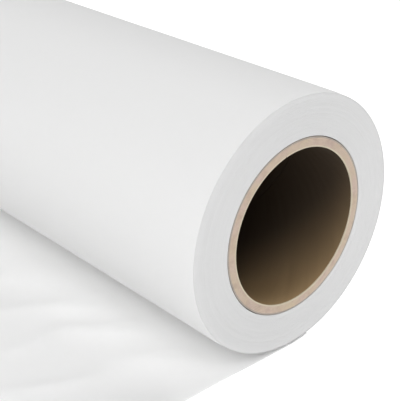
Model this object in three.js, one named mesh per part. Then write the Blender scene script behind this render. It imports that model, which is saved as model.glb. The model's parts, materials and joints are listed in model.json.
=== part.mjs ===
// A roll of white seamless backdrop paper on its paperboard core. It lies on the floor, with a
// short length of the paper pulled off its underside.
//
// Millimetres, +Z up. X runs along the roll, and the loose sheet lies towards -Y. The origin is
// on the floor, below the middle of the whole object.

import * as THREE from 'three';

// Driving dimensions
const PAPER_WIDTH = 1350; // the roll, its core and the loose sheet are all this wide
const PAPER_THICKNESS = 0.22;
const ROLL_RADIUS = 47.2; // outside of the outermost turn
const LOOSE_LENGTH = 600; // from the sheet's free edge to the line below the roll's axis
const CORE_BORE_RADIUS = 28.5;
const CORE_OUTER_RADIUS = 32;
const CORE_PLY_COUNT = 7;
const GLUE_FILM = 0.06; // between two plies of the core
const LAP_GAP = 0.06; // between two turns of paper
const REST_GAP = 0.08; // between pieces that lie on each other or slide past each other
const EDGE_GAP = 0.3; // between two stretches of the paper, end to end
const NIP_ANGLE = 12; // degrees of the roll's underside that the travelling strip wraps
const TAPE_THICKNESS = 0.14;
const TAPE_WIDTH = 50; // along the core
const TAPE_ANGLE = 60; // degrees of the core's surface that a tape covers
const TAPE_SPACING = 560; // from one tape to the next, along the core
const SEGMENTS = 72; // facets in a full circle
const NIP_STEP = 2; // degrees between the corners of the travelling strip

// Sizes that follow from them
const FACET_STEP = 360 / SEGMENTS;
const AXIS_HEIGHT = PAPER_THICKNESS + REST_GAP + ROLL_RADIUS;
const AXIS_Y = (LOOSE_LENGTH - ROLL_RADIUS) / 2;
const TURN_DROP = PAPER_THICKNESS + LAP_GAP; // how far a turn's radius falls in one lap
const OUTER_TURN_INSIDE = ROLL_RADIUS - TURN_DROP - PAPER_THICKNESS;
const WOUND_OUTER_RADIUS = OUTER_TURN_INSIDE - REST_GAP;
const TAPE_INNER_RADIUS = CORE_OUTER_RADIUS + GLUE_FILM;
const WOUND_INNER_RADIUS = TAPE_INNER_RADIUS + TAPE_THICKNESS + REST_GAP;
const PLY_PITCH = (CORE_OUTER_RADIUS - CORE_BORE_RADIUS + GLUE_FILM) / CORE_PLY_COUNT;

const paperWhite = new THREE.MeshStandardMaterial({ color: 0xf1f1ef, roughness: 0.85, metalness: 0 });
const coreBoard = new THREE.MeshStandardMaterial({ color: 0xc7b6a8, roughness: 0.9, metalness: 0 });
const linerBoard = new THREE.MeshStandardMaterial({ color: 0x8a7258, roughness: 0.9, metalness: 0 });
const tapePaper = new THREE.MeshStandardMaterial({ color: 0xe0d2ae, roughness: 0.7, metalness: 0 });

// A point of a section through the roll, drawn as it is seen from the +X end. The angle is
// counted from straight down, towards +Y, which is the way the paper winds up from the floor.
function sectionPoint(radius, degrees) {
  const angle = THREE.MathUtils.degToRad(degrees);
  return new THREE.Vector2(radius * Math.sin(angle), -radius * Math.cos(angle));
}

// A closed tube about the section's own axis.
function tube(innerRadius, outerRadius) {
  const half = PAPER_WIDTH / 2;
  const profile = [
    new THREE.Vector2(innerRadius, -half),
    new THREE.Vector2(outerRadius, -half),
    new THREE.Vector2(outerRadius, half),
    new THREE.Vector2(innerRadius, half),
    new THREE.Vector2(innerRadius, -half),
  ];
  return new THREE.LatheGeometry(profile, SEGMENTS).rotateX(Math.PI / 2);
}

// A curved strip from one angle to another, whose outer radius may fall as the angle grows.
function curvedStrip({ from, to, step, outerRadiusAt, thickness, width }) {
  const count = Math.round((to - from) / step);
  const outer = [];
  const inner = [];
  for (let i = 0; i <= count; i += 1) {
    const degrees = from + ((to - from) * i) / count;
    outer.push(sectionPoint(outerRadiusAt(degrees), degrees));
    inner.push(sectionPoint(outerRadiusAt(degrees) - thickness, degrees));
  }
  const section = new THREE.Shape([...outer, ...inner.reverse()]);
  const solid = new THREE.ExtrudeGeometry(section, { depth: width, bevelEnabled: false });
  return solid.translate(0, 0, -width / 2);
}

function named(name, geometry, material) {
  const mesh = new THREE.Mesh(geometry, material);
  mesh.name = name;
  return mesh;
}

// The core: strips of board wound on each other in spirals, from the liner that shows in the
// bore to the liner under the paper. Each ply is a closed tube, one film of glue from the next.
function core() {
  const group = new THREE.Group();
  const names = ['core_inner_liner'];
  for (let i = 1; i <= CORE_PLY_COUNT - 2; i += 1) {
    names.push(`core_ply_${i}`);
  }
  names.push('core_outer_liner');
  names.forEach((name, i) => {
    const inner = CORE_BORE_RADIUS + i * PLY_PITCH;
    const outer = inner + PLY_PITCH - GLUE_FILM;
    group.add(named(name, tube(inner, outer), i === 0 ? linerBoard : coreBoard));
  });
  return group;
}

// The tapes that hold the start of the paper on the core.
function startTapes() {
  const group = new THREE.Group();
  ['start_tape_left', 'start_tape_middle', 'start_tape_right'].forEach((name, i) => {
    const strip = curvedStrip({
      from: 180 - TAPE_ANGLE / 2,
      to: 180 + TAPE_ANGLE / 2,
      step: FACET_STEP,
      outerRadiusAt: () => TAPE_INNER_RADIUS + TAPE_THICKNESS,
      thickness: TAPE_THICKNESS,
      width: TAPE_WIDTH,
    });
    const tape = named(name, strip, tapePaper);
    tape.position.z = (i - 1) * TAPE_SPACING;
    group.add(tape);
  });
  return group;
}

// The outermost turn starts where the travelling strip ends, and after a full lap its end
// passes between that strip and the turns below.
function outerTurn() {
  const strip = curvedStrip({
    from: NIP_ANGLE,
    to: NIP_ANGLE + 360,
    step: FACET_STEP,
    outerRadiusAt: (degrees) => ROLL_RADIUS - (TURN_DROP * (degrees - NIP_ANGLE)) / 360,
    thickness: PAPER_THICKNESS,
    width: PAPER_WIDTH,
  });
  return named('outer_turn', strip, paperWhite);
}

// The strip of the sheet that is under the roll at any moment, bent up from the floor.
function sheetNip() {
  const strip = curvedStrip({
    from: 0,
    to: NIP_ANGLE,
    step: NIP_STEP,
    outerRadiusAt: () => AXIS_HEIGHT,
    thickness: PAPER_THICKNESS,
    width: PAPER_WIDTH,
  });
  return named('sheet_nip', strip, paperWhite);
}

// Everything about the roll's axis. Its sections lie in X and Y of this group, and its Z runs
// along the roll.
function rollAssembly() {
  const roll = new THREE.Group();
  const sectionToWorld = new THREE.Matrix4().makeBasis(
    new THREE.Vector3(0, 1, 0),
    new THREE.Vector3(0, 0, 1),
    new THREE.Vector3(1, 0, 0),
  );
  roll.quaternion.setFromRotationMatrix(sectionToWorld);
  roll.position.set(0, AXIS_Y, AXIS_HEIGHT);
  roll.add(core());
  roll.add(startTapes());
  roll.add(named('wound_paper', tube(WOUND_INNER_RADIUS, WOUND_OUTER_RADIUS), paperWhite));
  roll.add(outerTurn());
  roll.add(sheetNip());
  return roll;
}

// The loose sheet, flat on the floor.
function freeSheet() {
  const length = LOOSE_LENGTH - EDGE_GAP;
  const sheet = new THREE.BoxGeometry(PAPER_WIDTH, length, PAPER_THICKNESS);
  const mesh = named('free_sheet', sheet, paperWhite);
  mesh.position.set(0, AXIS_Y - EDGE_GAP - length / 2, PAPER_THICKNESS / 2);
  return mesh;
}

const backdropRoll = new THREE.Group();
backdropRoll.add(rollAssembly());
backdropRoll.add(freeSheet());

export default backdropRoll;
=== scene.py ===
"""A roll of white seamless backdrop paper, with a short length of paper pulled off its underside.

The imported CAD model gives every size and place. The fine paper, the spiral-wound core, the turns
that show at the roll's ends and the cockled loose sheet are made here around it. Everything is in
metres, +X runs along the roll and the loose sheet lies towards -Y.
"""

import json
import math
import random

import bmesh
import bpy
import numpy as np
from mathutils import Matrix, Vector


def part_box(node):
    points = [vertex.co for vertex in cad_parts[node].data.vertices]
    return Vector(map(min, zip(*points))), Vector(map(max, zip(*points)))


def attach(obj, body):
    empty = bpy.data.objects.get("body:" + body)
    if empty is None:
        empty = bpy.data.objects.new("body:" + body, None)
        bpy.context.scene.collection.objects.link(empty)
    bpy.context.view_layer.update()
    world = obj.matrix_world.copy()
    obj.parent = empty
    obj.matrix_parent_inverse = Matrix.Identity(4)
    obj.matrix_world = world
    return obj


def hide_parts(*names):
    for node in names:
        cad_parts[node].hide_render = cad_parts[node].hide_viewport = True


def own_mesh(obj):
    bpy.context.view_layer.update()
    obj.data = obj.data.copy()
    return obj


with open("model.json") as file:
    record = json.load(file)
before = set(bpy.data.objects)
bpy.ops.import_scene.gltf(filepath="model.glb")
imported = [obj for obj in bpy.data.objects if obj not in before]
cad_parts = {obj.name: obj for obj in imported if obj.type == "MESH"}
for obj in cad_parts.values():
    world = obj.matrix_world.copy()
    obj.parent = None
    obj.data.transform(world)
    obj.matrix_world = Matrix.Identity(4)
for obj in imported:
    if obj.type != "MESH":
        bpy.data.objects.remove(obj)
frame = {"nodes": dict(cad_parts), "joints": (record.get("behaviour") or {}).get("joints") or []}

MM = 0.001
TAU = 2 * math.pi

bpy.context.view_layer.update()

# Sizes and places from the frame
joints = {joint["name"]: joint for joint in frame["joints"]}
AXIS_Y, AXIS_Z = joints["roll_turn"]["pos_m"][1:]
HALF_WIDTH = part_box("wound_paper")[1].x
CORE_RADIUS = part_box("core_outer_liner")[1].z - AXIS_Z
SHEET_FREE_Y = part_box("free_sheet")[0].y
SHEET_ROLL_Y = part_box("free_sheet")[1].y
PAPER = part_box("free_sheet")[1].z
LOOSE_LENGTH = AXIS_Y - SHEET_FREE_Y
TRAVEL = joints["roll_travel"]["range_m"][1]

# The core
PLY_NODES = ["core_inner_liner", *(f"core_ply_{i}" for i in range(1, 6)), "core_outer_liner"]
GLUE_FILM = 0.06 * MM  # between two plies, as in the CAD
PLY_THICKNESS = (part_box("core_ply_1")[1].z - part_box("core_inner_liner")[1].z) - GLUE_FILM
PLY_RECESS = 0.06 * MM  # the most that a ply's end stands back
PLY_PHASE = 0.37  # of a turn, from the seam of one ply to the seam of the next
CORE_LEAD = 118 * MM  # how far a strip of board advances in one turn of the core
CORE_SEAM = 0.2 * MM  # open butt seam between two turns of the same strip
CORE_STEP = 2.5  # degrees
CORE_SHARP = 30  # degrees; edges that bend more than this stay sharp
SPARE_TURNS = 1.1  # of a strip past each end of the core, which the square cuts take off

# The wound paper
REST_GAP = 0.08 * MM  # between the roll and the paper that it lies on
TURN_RADIUS = AXIS_Z - PAPER - REST_GAP  # outside of the outermost turn
NIP_DEGREES = 12  # of the roll's underside that the travelling strip wraps
NIP_THINNED = 0.75  # share of its thickness that the travelling strip loses as it meets the roll
CORE_GAP = 0.28 * MM  # room for the start tapes, between the core and the first turn
LAP_DROP = 0.28 * MM  # how far the outermost turn falls in one lap
WOUND_GAP = 0.18 * MM  # spare depth under the outermost turn
PRESSED_GAP = 0.01 * MM  # what is left between it and the turns below at the roll's ends
PRESSED_FROM = 5 * MM  # distances from the roll's end over which it is pressed down
PRESSED_TO = 0.4 * MM
RIM_HEIGHT = 1.9 * MM  # turns this near the outside have edges that fall back, so the rim is round
RIM_DEPTH = 0.9 * MM
EDGE_BACK = 0.06 * MM  # how far the cut edges stand back on average
EDGE_SCATTER = 0.01 * MM
EDGE_VALLEY = 0.05 * MM  # depth of the groove between two cut edges
EDGE_FLAT = 0.10, 0.90  # where a cut edge's flat starts and ends, as shares of a turn's thickness
FIRST_BEVEL = 0.3 * MM  # how far in the first turn's inner corner is bevelled
WOUND_STEP = 1.5  # degrees
STEP_BACK = 0.01  # of a lap, in which the turns under the outermost one step back up
OUTER_STEP = 1.25  # degrees
OUTER_ROWS = 5, 4, 3, 2.2, 1.5, 0.9, 0.4, 0  # mm from the end, of the outermost turn's last rows
OUTER_MIDDLE = 6 * MM  # distance from the end at which its wider rows start
OUTER_MIDDLE_STEP = 14 * MM
TURN_SWELL = 0.02 * MM  # height of the outermost turn's faint swells
LAP_FEATHER_DEGREES = 10  # over which the start of the outermost turn grows to its full thickness
LAP_FEATHER = 0.9  # share of the paper's thickness that it grows by

# The loose sheet
FINE_X = 150 * MM  # the mesh is finer this near the roll's +X end
FINE_Y = 120 * MM  # and this near the roll
STEPS_X = 4.4 * MM, 1.5 * MM  # of the mesh, coarse and fine
STEPS_Y = 6.5 * MM, 2.2 * MM
FOLD_BEND = 2.5 * MM  # how far the folds snake to the side
FOLD_BEND_RATES = 150, 40  # radians per metre, away from the roll and along it
FOLDS_FROM = 8 * MM  # distances from the line where the roll rests, between which folds grow
FOLDS_FULL = 50 * MM
ROLL_SWELL = 0.5 * MM  # how high the paper lifts beside the roll
ROLL_SWELL_OUT = 31 * MM
ROLL_SWELL_WIDTH = 12 * MM
CURL = 5 * MM  # how high the free edge curls up
CURL_FROM = 70 * MM  # from the free edge
CURL_PAST = 20 * MM  # past the free edge, where the curl would end
RANDOM_FOLDS = 150
PLACED_X = 120 * MM  # only the placed folds lie this near the roll's +X end
PLACED_OUT = 160 * MM  # and this near the line where the roll rests

# Folds near the roll's +X end: place of the middle (metres in from the end of the roll, and out
# from the line where the roll rests), slant in degrees from straight away from the roll, half
# length and half width in metres, and height in millimetres.
PLACED_FOLDS = [
    (0.110, 0.050, 20, 0.018, 0.0060, 1.0),
    (0.073, 0.042, 20, 0.015, 0.0045, 1.2),
    (0.050, 0.043, 20, 0.014, 0.0045, 1.2),
    (0.024, 0.043, 22, 0.016, 0.0045, 1.2),
    (0.083, 0.066, 18, 0.014, 0.0035, 0.7),
    (0.061, 0.066, 14, 0.016, 0.0028, 0.8),
    (0.036, 0.078, 14, 0.018, 0.0028, 0.8),
    (0.011, 0.064, 42, 0.014, 0.0040, 1.0),
    (0.058, 0.100, 4, 0.012, 0.0030, 0.6),
]

# Tones of the one paper, set to stand for how light falls on each place: the roll's outside and
# its cut ends are darker, painted shade, and the loose sheet and the strip under the roll lighter,
# painted light
ROLL_SHADED_TONE = 0.74
SHEET_LIT_TONE = 0.93
ROLL_END_SHADED_TONE = 0.775

# Painted light and shade in the core's bore: the liner is painted a near-black brown deeper in and
# round its upper side, and keeps its kraft colour near the mouth
BORE_LIT_SIDE_LEAN = 20  # degrees, from straight down, of the side with the most painted light
BORE_LIGHT_NARROWING = 1.4  # how fast the painted light gives out round the bore
BORE_LIGHT_REACH = 44 * MM  # how far in it goes on the side that is down, more than on the other
BORE_LIGHT_LEAST_REACH = 6 * MM
BORE_LIGHT_FADE = 1.6  # how fast it gives out with depth
LINER_CUT_AND_HIGHLIGHT = 0.4 * MM  # depth of the liner's pale cut edge, which is partly a painted highlight along the bore's rim

# Camera
VIEW_AZIMUTH = 47.11  # degrees, counted from looking along +Y towards looking along -X
VIEW_ELEVATION = 25.62
VIEW_ROLL = 1.17
VIEW_LENS = 89.9  # mm
VIEW_SENSOR = 36  # mm
VIEW_NEAREST = 10 * MM
VIEW_PLACE = Vector((4.198, -4.848, 3.255))  # from the near end's centre, in roll radii

# Studio
MOST_BOUNCES = 16  # of light, so that the bore doesn't go black
DIFFUSE_BOUNCES = 12
SKY_WHITE = 0.16  # the sky is white up to this height of its direction, from 0 at the horizon to 1
SKY_GREY = 0.26  # and plain grey from this height up
SKY_STRENGTHS = 1.0, 0.1  # white and grey
FLOOR_SIZE = 60  # metres
FLOOR_DROP = 0.1 * MM  # below the paper
FLOOR_GLOW = 0.93  # emission strength


# ---------------------------------------------------------------- meshes


def solid(name, vertices, faces, sharp_degrees=35):
    """A mesh object with its faces pointing out, smooth except at edges sharper than the angle."""
    mesh = bpy.data.meshes.new(name)
    mesh.from_pydata(np.asarray(vertices).tolist(), [], np.asarray(faces).tolist())
    shape = bmesh.new()
    shape.from_mesh(mesh)
    bmesh.ops.recalc_face_normals(shape, faces=shape.faces)
    shape.to_mesh(mesh)
    shape.free()
    mesh.shade_smooth()
    mesh.set_sharp_from_angle(angle=math.radians(sharp_degrees))
    made = bpy.data.objects.new(name, mesh)
    bpy.context.scene.collection.objects.link(made)
    return made


def round_the_roll(x, radius, degrees):
    """Points at an angle from straight down, towards +Y, as the paper winds up from the floor."""
    angle = np.radians(degrees)
    y = AXIS_Y + radius * np.sin(angle)
    z = AXIS_Z - radius * np.cos(angle)
    return np.stack(np.broadcast_arrays(x, y, z), -1)


def quads(index):
    """Faces between neighbouring rows and columns of a grid of vertex numbers."""
    corners = index[:-1, :-1], index[:-1, 1:], index[1:, 1:], index[1:, :-1]
    return np.stack(corners, -1).reshape(-1, 4)


def tube(name, points, sharp_degrees):
    """A ring-shaped closed body from a grid of points, a row for each corner of its section."""
    rows, columns = points.shape[:2]
    index = np.arange(rows * columns).reshape(rows, columns)
    index = np.vstack([index, index[:1]])
    index = np.hstack([index, index[:, :1]])
    return solid(name, points.reshape(-1, 3), quads(index), sharp_degrees)


def shell(name, upper, lower):
    """A closed body between two grids of points with the same rows and columns."""
    rows, columns = upper.shape[:2]
    count = rows * columns
    index = np.arange(count).reshape(rows, columns)
    rim = np.concatenate([index[0], index[1:, -1], index[-1, -2::-1], index[-2:0:-1, 0]])
    next_rim = np.roll(rim, -1)
    walls = np.stack([rim, next_rim, next_rim + count, rim + count], -1)
    faces = np.vstack([quads(index), quads(index)[:, ::-1] + count, walls])
    points = np.vstack([upper.reshape(-1, 3), lower.reshape(-1, 3)])
    return solid(name, points, faces)


def smoothstep(value, low, high):
    t = np.clip((value - low) / (high - low), 0, 1)
    return t * t * (3 - 2 * t)


def even_steps(low, high, step):
    return np.linspace(low, high, 1 + math.ceil((high - low) / step))


# ---------------------------------------------------------------- materials


class Nodes:
    """A material's node tree, with a short way to add nodes."""

    def __init__(self, name):
        self.material = bpy.data.materials.new(name)
        self.material.use_nodes = True
        self.tree = self.material.node_tree
        self.shader = self.tree.nodes["Principled BSDF"]

    def feed(self, socket, value):
        """Links a socket to an input, or sets the input to a plain value."""
        if isinstance(value, bpy.types.NodeSocket):
            self.tree.links.new(value, socket)
        else:
            socket.default_value = value

    def add(self, kind, inputs, output=0, **settings):
        """Adds a node, sets its settings and feeds its inputs, and gives one of its outputs."""
        made = self.tree.nodes.new("ShaderNode" + kind)
        for key, value in settings.items():
            setattr(made, key, value)
        for key, value in inputs.items():
            self.feed(made.inputs[key], value)
        return made.outputs[output]

    def math(self, operation, a, b=0.0):
        return self.add("Math", {0: a, 1: b}, operation=operation)

    def noise(self, where, scale, detail=3.0, roughness=0.5):
        inputs = {"Vector": where, "Scale": scale, "Detail": detail, "Roughness": roughness}
        return self.add("TexNoise", inputs)

    def between(self, amount, low, high):
        """Maps an amount around 0.5, such as a noise, to the range from low to high."""
        limits = {"From Min": 0.3, "From Max": 0.7, "To Min": low, "To Max": high}
        return self.add("MapRange", {"Value": amount, **limits})

    def mix(self, amount, first, second):
        """Mixes two colours. The numbers are the places of the colour mix's inputs and output."""
        return self.add("Mix", {0: amount, 6: first, 7: second}, output=2, data_type="RGBA")

    def place(self):
        return self.add("TexCoord", {}, output="Object")

    def bump(self, height, distance, over=None):
        inputs = {"Height": height, "Distance": distance, "Strength": 1.0}
        if over is not None:
            inputs["Normal"] = over
        return self.add("Bump", inputs)

    def shade(self, **inputs):
        """Feeds the shader: links a socket, or sets a plain value on the shader's own input."""
        for key, value in inputs.items():
            self.feed(self.shader.inputs[key.replace("_", " ")], value)
        return self.material


def grey(value):
    return (value, value, value, 1.0)


def roll_coordinates(nodes):
    """Distance from the roll's axis, turn round it from -0.5 to 0.5, and place along it."""
    split = nodes.add("SeparateXYZ", {"Vector": nodes.place()}).node
    across = nodes.math("SUBTRACT", split.outputs["Y"], AXIS_Y)
    up = nodes.math("SUBTRACT", split.outputs["Z"], AXIS_Z)
    across_squared = nodes.math("MULTIPLY", across, across)
    squares = nodes.math("ADD", across_squared, nodes.math("MULTIPLY", up, up))
    turn = nodes.math("MULTIPLY", nodes.math("ARCTAN2", across, up), 1 / TAU)
    return nodes.math("SQRT", squares), turn, split.outputs["X"]


def paper_material(name, tone):
    """Uncoated paper: a soft cloudy formation, a fine felt grain and no gloss."""
    nodes = Nodes(name)
    where = nodes.place()
    formation = nodes.noise(where, 320.0, detail=4.0, roughness=0.6)
    grain = nodes.noise(where, 2600.0, detail=3.0, roughness=0.7)
    clouds = nodes.mix(
        nodes.between(formation, 0.0, 1.0),
        (tone * 0.985, tone * 0.985, tone * 0.98, 1.0),
        (tone, tone, tone * 0.997, 1.0),
    )
    colour = nodes.mix(nodes.between(grain, 0.0, 1.0), clouds, grey(tone * 0.99))
    felt = nodes.bump(grain, 0.012 * MM)
    return nodes.shade(
        Base_Color=colour,
        Roughness=nodes.between(formation, 0.78, 0.92),
        Specular_IOR_Level=0.25,
        Normal=nodes.bump(formation, 0.02 * MM, over=felt),
    )


def paper_edge_material(name, tone, pitch):
    """The cut edges of the turns, seen end on: fine rings, each a little lighter or darker."""
    nodes = Nodes(name)
    radius, _, _ = roll_coordinates(nodes)
    number = nodes.math("DIVIDE", radius, pitch)
    turn_number = nodes.math("FLOOR", number)
    each_turn = nodes.add("TexWhiteNoise", {"W": turn_number}, noise_dimensions="1D")
    band_place = nodes.math("MULTIPLY", number, 0.12)
    bands = nodes.add("TexNoise", {"W": band_place}, noise_dimensions="1D")
    fibres = nodes.noise(nodes.place(), 5200.0, detail=2.0)
    rings = nodes.mix(each_turn, grey(tone * 0.98), grey(tone * 1.01))
    banded = nodes.mix(nodes.between(bands, 0.0, 0.5), rings, grey(tone * 0.98))
    colour = nodes.mix(nodes.between(fibres, 0.0, 0.4), banded, grey(tone * 0.97))
    return nodes.shade(
        Base_Color=colour,
        Roughness=nodes.between(fibres, 0.82, 0.95),
        Specular_IOR_Level=0.15,
        Normal=nodes.bump(fibres, 0.015 * MM),
    )


def board_end_material(name, light, pink, dark):
    """Core board: kraft mottled round the ring, with marks across it where the saw tore fibres."""
    nodes = Nodes(name)
    radius, turn, along = roll_coordinates(nodes)
    where = nodes.place()
    patches = nodes.noise(where, 150.0, detail=2.0, roughness=0.5)
    flecks = nodes.noise(where, 1500.0, detail=4.0, roughness=0.7)
    across_ring = nodes.math("MULTIPLY", radius, 260.0)
    round_ring = nodes.math("MULTIPLY", turn, 52.0)
    torn_place = nodes.add("CombineXYZ", {"X": across_ring, "Y": round_ring, "Z": along})
    torn = nodes.noise(torn_place, 1.0, detail=3.0, roughness=0.6)
    mottled = nodes.mix(nodes.between(patches, 0.0, 1.0), light, pink)
    streaked = nodes.mix(nodes.between(torn, -0.5, 0.55), mottled, dark)
    colour = nodes.mix(nodes.between(flecks, 0.0, 0.3), streaked, dark)
    return nodes.shade(
        Base_Color=colour,
        Roughness=nodes.between(flecks, 0.8, 0.96),
        Specular_IOR_Level=0.2,
        Normal=nodes.bump(flecks, 0.03 * MM),
    )


def liner_material(name, light, dark, painted_deep_shade, cut_edge_and_highlight, lead):
    """The ply that shows in the bore: brown kraft whose fibres run round with the strip.

    Deeper in, and round its upper side, it is painted a near-black brown: painted shade. Near the
    mouth, most of all along the side that is down, it keeps its kraft colour: painted light. It is
    palest at its cut edge, which is partly a painted highlight along the bore's rim.
    """
    nodes = Nodes(name)
    _, turn, along = roll_coordinates(nodes)
    strip = nodes.math("SUBTRACT", along, nodes.math("MULTIPLY", turn, lead))
    across_strip = nodes.math("MULTIPLY", strip, 260.0)
    round_bore = nodes.math("MULTIPLY", turn, 7.0)
    fibre_place = nodes.add("CombineXYZ", {"X": across_strip, "Y": round_bore})
    fibres = nodes.noise(fibre_place, 1.0, detail=5.0, roughness=0.6)
    patches = nodes.noise(nodes.place(), 45.0, detail=2.0)
    face = nodes.mix(nodes.between(fibres, 0.0, 1.0), dark, light)
    face = nodes.mix(nodes.between(patches, 0.0, 0.4), face, dark)

    # Painted shade and light: the liner fades to a near-black brown deeper in and round its upper
    # side, and keeps its kraft colour near the mouth, most along the side that is down.
    depth = nodes.math("SUBTRACT", HALF_WIDTH, nodes.math("ABSOLUTE", along))
    angle = nodes.math("SUBTRACT", nodes.math("MULTIPLY", turn, TAU), math.radians(BORE_LIT_SIDE_LEAN))
    facing = nodes.math("SUBTRACT", 1.0, nodes.math("COSINE", angle))
    downward = nodes.math("POWER", nodes.math("MULTIPLY", facing, 0.5), BORE_LIGHT_NARROWING)
    reach = nodes.math("ADD", nodes.math("MULTIPLY", downward, BORE_LIGHT_REACH), BORE_LIGHT_LEAST_REACH)
    share = nodes.math("DIVIDE", depth, reach)
    near_mouth = nodes.add("MapRange", {"Value": share, "To Min": 1.0, "To Max": 0.0})
    painted_bore_light = nodes.math("MULTIPLY", nodes.math("POWER", near_mouth, BORE_LIGHT_FADE), downward)
    face = nodes.mix(painted_bore_light, painted_deep_shade, face)
    # The liner's pale cut edge, partly a painted highlight along the bore's rim.
    at_cut_and_highlight = nodes.math("LESS_THAN", depth, LINER_CUT_AND_HIGHLIGHT)
    return nodes.shade(
        Base_Color=nodes.mix(at_cut_and_highlight, face, cut_edge_and_highlight),
        Roughness=nodes.between(fibres, 0.62, 0.85),
        Specular_IOR_Level=0.3,
        Normal=nodes.bump(fibres, 0.02 * MM),
    )


def tape_material(name, tone):
    """Creped paper tape: fine ridges across the strip."""
    nodes = Nodes(name)
    _, turn, along = roll_coordinates(nodes)
    along_tape = nodes.math("MULTIPLY", along, 120.0)
    across_ridges = nodes.math("MULTIPLY", turn, 420.0)
    crepe_place = nodes.add("CombineXYZ", {"X": along_tape, "Y": across_ridges})
    crepe = nodes.noise(crepe_place, 1.0, detail=3.0)
    darker = (tone[0] * 0.88, tone[1] * 0.88, tone[2] * 0.84, 1.0)
    return nodes.shade(
        Base_Color=nodes.mix(nodes.between(crepe, 0.0, 1.0), darker, tone),
        Roughness=nodes.between(crepe, 0.5, 0.75),
        Specular_IOR_Level=0.35,
        Normal=nodes.bump(crepe, 0.05 * MM),
    )


# ---------------------------------------------------------------- the core


def cut_square(shape, x, outward):
    """Cuts a bmesh by the plane at x and closes the cut with a flat face."""
    cut = bmesh.ops.bisect_plane(
        shape,
        geom=[*shape.verts, *shape.edges, *shape.faces],
        plane_co=(x, 0, 0),
        plane_no=(outward, 0, 0),
        clear_outer=True,
    )
    edges = [part for part in cut["geom_cut"] if isinstance(part, bmesh.types.BMEdge)]
    bmesh.ops.triangle_fill(shape, edges=edges, use_beauty=True)


def spiral_ply(name, inner, outer, phase, recess):
    """One strip of board wound round the core in a spiral, with a hairline seam between turns."""
    turns_needed = 2 * HALF_WIDTH / CORE_LEAD + 2 * SPARE_TURNS
    degrees = np.arange(0, turns_needed * 360 + CORE_STEP, CORE_STEP)
    left = -HALF_WIDTH - SPARE_TURNS * CORE_LEAD + (degrees / 360) * CORE_LEAD
    right = left + CORE_LEAD - CORE_SEAM
    start = phase * 360
    corners = [
        round_the_roll(left, inner, degrees + start),
        round_the_roll(right, inner, degrees + start),
        round_the_roll(right, outer, degrees + start),
        round_the_roll(left, outer, degrees + start),
    ]
    points = np.stack(corners, 1).reshape(-1, 3)
    index = np.arange(len(points)).reshape(len(degrees), 4)
    closed = np.hstack([index, index[:, :1]])
    made = solid(name, points, np.vstack([quads(closed), index[:1], index[-1:]]))
    shape = bmesh.new()
    shape.from_mesh(made.data)
    cut_square(shape, HALF_WIDTH - recess, 1)
    cut_square(shape, -HALF_WIDTH + recess, -1)
    bmesh.ops.recalc_face_normals(shape, faces=shape.faces)
    shape.to_mesh(made.data)
    shape.free()
    made.data.set_sharp_from_angle(angle=math.radians(CORE_SHARP))
    return made


def make_core():
    """The seven plies of the core, each a spiral strip that stands for its CAD tube."""
    liner = liner_material(
        "bore_liner_kraft",
        light=(0.47, 0.317, 0.162, 1),
        dark=(0.385, 0.256, 0.126, 1),
        # near-black brown, painted shade deep in the bore and round its upper side
        painted_deep_shade=(0.060, 0.042, 0.027, 1),
        # pale yellowish cut edge, partly a painted highlight along the bore's rim
        cut_edge_and_highlight=(0.68, 0.60, 0.46, 1),
        lead=CORE_LEAD,
    )
    board = board_end_material(
        "core_board",
        light=(0.655, 0.55, 0.40, 1),
        pink=(0.67, 0.535, 0.46, 1),
        dark=(0.50, 0.37, 0.30, 1),
    )
    cover = board_end_material(
        "cover_board",
        light=(0.50, 0.44, 0.38, 1),
        pink=(0.50, 0.43, 0.38, 1),
        dark=(0.36, 0.31, 0.27, 1),
    )
    looks = {PLY_NODES[0]: (liner, "liner_board"), PLY_NODES[-1]: (cover, "core_board")}
    chance = random.Random(4)
    for i, node in enumerate(PLY_NODES):
        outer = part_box(node)[1].z - AXIS_Z
        recess = chance.uniform(0, PLY_RECESS)
        ply = spiral_ply(f"spiral_{node}", outer - PLY_THICKNESS, outer, i * PLY_PHASE, recess)
        material, finish = looks.get(node, (board, "core_board"))
        ply.data.materials.append(material)
        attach(ply, "roll")
        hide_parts(node)


# ---------------------------------------------------------------- the wound paper


def rim_fall(below):
    """How far a turn's edge lies behind the roll's end, at a depth below the roll's outside."""
    outward = max(0, 1 - below / RIM_HEIGHT)
    return RIM_DEPTH * (1 - math.sqrt(1 - outward**2))


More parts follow.
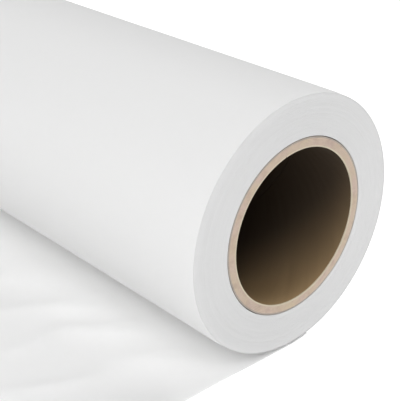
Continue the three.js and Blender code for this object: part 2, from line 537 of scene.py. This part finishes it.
def make_wound_paper():
    """All the turns but the outermost, with the cut edge of each standing a little in or out.

    The paper winds in a spiral, so the outside of these turns falls by one turn in each lap and
    steps back up just after the place where the outermost turn ends.
    """
    inner = CORE_RADIUS + CORE_GAP
    full = TURN_RADIUS - LAP_DROP - WOUND_GAP
    count = round((full - inner) / PAPER)
    pitch = (full - inner) / count
    chance = random.Random(11)
    near = [(HALF_WIDTH - FIRST_BEVEL, inner)]
    for k in range(count):
        drift = (0.03 * math.sin(k * 0.31) + 0.02 * math.sin(k * 0.83 + 1)) * MM
        scatter = chance.uniform(-EDGE_SCATTER, EDGE_SCATTER)
        rounded = rim_fall(TURN_RADIUS - inner - (k + 0.5) * pitch)
        edge = HALF_WIDTH - rounded - EDGE_BACK - drift - scatter
        low = inner + k * pitch
        near += [
            *((edge, low + share * pitch) for share in EDGE_FLAT),
            (edge - EDGE_VALLEY, low + pitch),
        ]
    far = [(-x, radius) for x, radius in reversed(near)]
    x, radius = (np.array(values)[:, None] for values in zip(*near + far))
    degrees = np.arange(0, 360, WOUND_STEP)
    lap = np.mod(degrees - NIP_DEGREES, 360) / 360
    fall = LAP_DROP * np.maximum(lap, 1 - smoothstep(lap, 0, STEP_BACK))
    radius = inner + (radius - inner) * (1 - fall / (full - inner))
    points = round_the_roll(x, radius, degrees)
    wound = tube("wound_turns", points, sharp_degrees=60)
    # The cut ends get a darker tone of the same paper: painted shade.
    wound.data.materials.append(paper_edge_material("paper_cut_edges", ROLL_END_SHADED_TONE, pitch))
    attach(wound, "roll")
    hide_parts("wound_paper")


def make_outer_turn(paper):
    """The outermost turn: a faintly swelling strip whose start, at the nip, laps over its end."""
    degrees = even_steps(NIP_DEGREES, NIP_DEGREES + 360, OUTER_STEP)[:, None]
    angle = np.radians(degrees)
    end = HALF_WIDTH - rim_fall(LAP_DROP + WOUND_GAP + PAPER / 2)
    near_end = end - np.array(OUTER_ROWS) * MM
    half_middle = HALF_WIDTH - OUTER_MIDDLE
    middle = even_steps(-half_middle, half_middle, OUTER_MIDDLE_STEP)
    x = np.concatenate([-near_end[::-1], middle, near_end])[None, :]
    lap = (degrees - NIP_DEGREES) / 360
    swell = np.sin(x * 61 + 2.1 * angle) * np.sin(3 * angle + x * 17)
    swell = TURN_SWELL * (swell + np.sin(x * 23 - angle + 0.7))
    most = LAP_DROP + WOUND_GAP - PAPER - PRESSED_GAP
    pressed = most * smoothstep(np.abs(x), HALF_WIDTH - PRESSED_FROM, HALF_WIDTH - PRESSED_TO)
    outside = TURN_RADIUS - LAP_DROP * lap - pressed
    grown = smoothstep(degrees, NIP_DEGREES, NIP_DEGREES + LAP_FEATHER_DEGREES)
    thinned = LAP_FEATHER * (1 - grown) * PAPER
    upper = round_the_roll(x, outside + swell - thinned, degrees)
    lower = round_the_roll(x, outside - PAPER, degrees)
    turn = shell("outermost_turn", upper, lower)
    turn.data.materials.append(paper)
    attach(turn, "roll")
    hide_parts("outer_turn")


def make_nip(paper):
    """The strip of the sheet under the roll, bent up from the floor and thinner at the roll."""
    degrees = even_steps(0, NIP_DEGREES, 1)[:, None]
    x = np.array([-HALF_WIDTH, HALF_WIDTH])[None, :]
    taper = 1 - NIP_THINNED * smoothstep(degrees, NIP_DEGREES / 2, NIP_DEGREES)
    inside = AXIS_Z - PAPER
    lower = round_the_roll(x, inside + PAPER * taper, degrees)
    upper = round_the_roll(x, inside, degrees)
    nip = shell("sheet_under_roll", upper, lower)
    nip.data.materials.append(paper)
    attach(nip, "nip")
    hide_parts("sheet_nip")


# ---------------------------------------------------------------- the loose sheet


def fold(x, distance, middle, out, slant, length, width, height):
    """Height of one long soft fold, at points given by x and distance from the contact line."""
    lean = math.radians(slant)
    dx, dy = x - middle, distance - out
    across = dx * math.cos(lean) + dy * math.sin(lean)
    along = dy * math.cos(lean) - dx * math.sin(lean)
    return height * MM * np.exp(-0.5 * (across / width) ** 2 - (along / length) ** 4)


def cockle(x, distance):
    """Height of the sheet above the floor: long soft folds, and a curl at the free edge."""
    rate_out, rate_along = FOLD_BEND_RATES
    x = x + FOLD_BEND * np.sin(distance * rate_out + x * rate_along)
    height = 0.0
    for inwards, *rest in PLACED_FOLDS:
        height = height + fold(x, distance, HALF_WIDTH - inwards, *rest)
    chance = random.Random(7)
    for _ in range(RANDOM_FOLDS):
        middle = chance.uniform(-HALF_WIDTH, HALF_WIDTH)
        out = chance.uniform(0.06, 0.58)
        slant = chance.gauss(12, 14)
        length = chance.uniform(0.02, 0.07)
        width = chance.uniform(0.007, 0.014)
        rise = chance.uniform(0.4, 1.2) * width / 0.01
        if middle < HALF_WIDTH - PLACED_X or out > PLACED_OUT:
            height = height + fold(x, distance, middle, out, slant, length, width, rise)
    beside = (distance - ROLL_SWELL_OUT) / ROLL_SWELL_WIDTH
    height = height + ROLL_SWELL * np.exp(-(beside**2))
    height = height * smoothstep(distance, FOLDS_FROM, FOLDS_FULL)
    # Drawn in at full travel, the folds have to stay under the round of the roll.
    kept = 1 - TRAVEL / LOOSE_LENGTH
    allowed = (kept * distance) ** 2 / (2 * TURN_RADIUS)
    curl = smoothstep(distance, LOOSE_LENGTH - CURL_FROM, LOOSE_LENGTH + CURL_PAST) ** 1.5
    return np.minimum(height, allowed) + CURL * curl


def coarse_then_fine(low, change, high, steps):
    coarse, fine = steps
    return np.append(even_steps(low, change, coarse)[:-1], even_steps(change, high, fine))


def make_sheet(paper):
    """The loose sheet on the floor, drawn towards its free edge as the roll winds it up."""
    x = coarse_then_fine(-HALF_WIDTH, HALF_WIDTH - FINE_X, HALF_WIDTH, STEPS_X)[None, :]
    y = coarse_then_fine(SHEET_FREE_Y, SHEET_ROLL_Y - FINE_Y, SHEET_ROLL_Y, STEPS_Y)[:, None]
    height = cockle(x, AXIS_Y - y)
    flat_x, flat_y = np.broadcast_arrays(x, y)
    upper = np.stack([flat_x, flat_y, height + PAPER], -1)
    lower = np.stack([flat_x, flat_y, height], -1)
    sheet = shell("loose_sheet", upper, lower)
    sheet.data.materials.append(paper)
    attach(sheet, "sheet")
    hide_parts("free_sheet")
    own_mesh(sheet)


def dress_tapes():
    tape = tape_material("crepe_tape", (0.73, 0.63, 0.42, 1.0))
    for name, node in frame["nodes"].items():
        if name.startswith("start_tape"):
            node.material_slots[0].material = tape


# ---------------------------------------------------------------- studio


def make_camera():
    data = bpy.data.cameras.new("camera")
    data.lens = VIEW_LENS
    data.sensor_width = VIEW_SENSOR
    data.clip_start = VIEW_NEAREST
    camera = bpy.data.objects.new("camera", data)
    bpy.context.scene.collection.objects.link(camera)
    centre = Vector((HALF_WIDTH, AXIS_Y, AXIS_Z))
    aim = Matrix.Rotation(math.radians(VIEW_AZIMUTH), 4, "Z")
    tilt = Matrix.Rotation(math.radians(90 - VIEW_ELEVATION), 4, "X")
    roll = Matrix.Rotation(math.radians(VIEW_ROLL), 4, "Z")
    place = Matrix.Translation(centre + VIEW_PLACE * TURN_RADIUS)
    camera.matrix_world = place @ aim @ tilt @ roll
    bpy.context.scene.camera = camera


def softbox(name, azimuth, elevation, power, distance=3.2, size=1.6, aim_x=0.45):
    """A square softbox aimed at the roll, its power in watts.

    Azimuth 0 is the sheet's side of the roll and 90 is +X.
    """
    data = bpy.data.lights.new(name, "AREA")
    data.shape = "SQUARE"
    data.size = size
    data.energy = power
    light = bpy.data.objects.new(name, data)
    bpy.context.scene.collection.objects.link(light)
    a, e = math.radians(azimuth), math.radians(elevation)
    away = Vector((math.sin(a) * math.cos(e), -math.cos(a) * math.cos(e), math.sin(e)))
    light.location = Vector((aim_x, AXIS_Y, AXIS_Z)) + away * distance
    light.rotation_euler = away.to_track_quat("Z", "Y").to_euler()
    light.visible_camera = False


def make_world():
    """A soft grey sky that turns white towards the horizon, like the walls of a white studio."""
    world = bpy.data.worlds.new("studio")
    world.use_nodes = True
    tree = world.node_tree
    direction = tree.nodes.new("ShaderNodeTexCoord")
    split = tree.nodes.new("ShaderNodeSeparateXYZ")
    glow = tree.nodes.new("ShaderNodeMapRange")
    limits = ("From Min", "From Max", "To Min", "To Max")
    for key, value in zip(limits, (SKY_WHITE, SKY_GREY, *SKY_STRENGTHS)):
        glow.inputs[key].default_value = value
    background = tree.nodes["Background"]
    background.inputs["Color"].default_value = grey(1.0)
    tree.links.new(direction.outputs["Generated"], split.inputs["Vector"])
    tree.links.new(split.outputs["Z"], glow.inputs["Value"])
    tree.links.new(glow.outputs["Result"], background.inputs["Strength"])
    return world


def make_floor():
    """A white floor. It glows, so that it is evenly white, as in the photo."""
    bpy.ops.mesh.primitive_plane_add(size=FLOOR_SIZE, location=(0, 0, -FLOOR_DROP))
    floor = bpy.context.object
    floor.name = "floor"
    nodes = Nodes("white_floor")
    speck = nodes.noise(nodes.place(), 40.0)
    floor.data.materials.append(
        nodes.shade(
            Base_Color=nodes.mix(nodes.between(speck, 0.0, 1.0), grey(0.24), grey(0.26)),
            Roughness=0.9,
            Specular_IOR_Level=0.1,
            Emission_Color=grey(1.0),
            Emission_Strength=FLOOR_GLOW,
        )
    )


def make_studio():
    scene = bpy.context.scene
    scene.view_settings.view_transform = "Standard"
    scene.cycles.max_bounces = MOST_BOUNCES
    scene.cycles.diffuse_bounces = DIFFUSE_BOUNCES
    scene.world = make_world()
    make_floor()
    softbox("front", azimuth=0, elevation=42, power=23.6)
    softbox("front_low", azimuth=0, elevation=28, power=13.1)
    softbox("front_right", azimuth=45, elevation=42, power=18.2)
    softbox("back", azimuth=180, elevation=42, power=32)
    softbox("back_high", azimuth=180, elevation=65, power=14.2)
    near = {"distance": 1.1, "size": 0.5, "aim_x": 0.6}
    softbox("near_front", azimuth=0, elevation=58, power=0.93, **near)
    softbox("near_end", azimuth=60, elevation=58, power=2.32, **near)


# The same paper in a darker copy for the roll's outside (painted shade) and a lighter copy for the
# sheet and the strip under the roll (painted light).
shaded_roll_paper = paper_material("backdrop_paper", ROLL_SHADED_TONE)
lit_sheet_paper = paper_material("backdrop_paper_inner_side", SHEET_LIT_TONE)
make_core()
make_wound_paper()
make_outer_turn(shaded_roll_paper)
make_nip(lit_sheet_paper)
make_sheet(lit_sheet_paper)
dress_tapes()
make_camera()
make_studio()
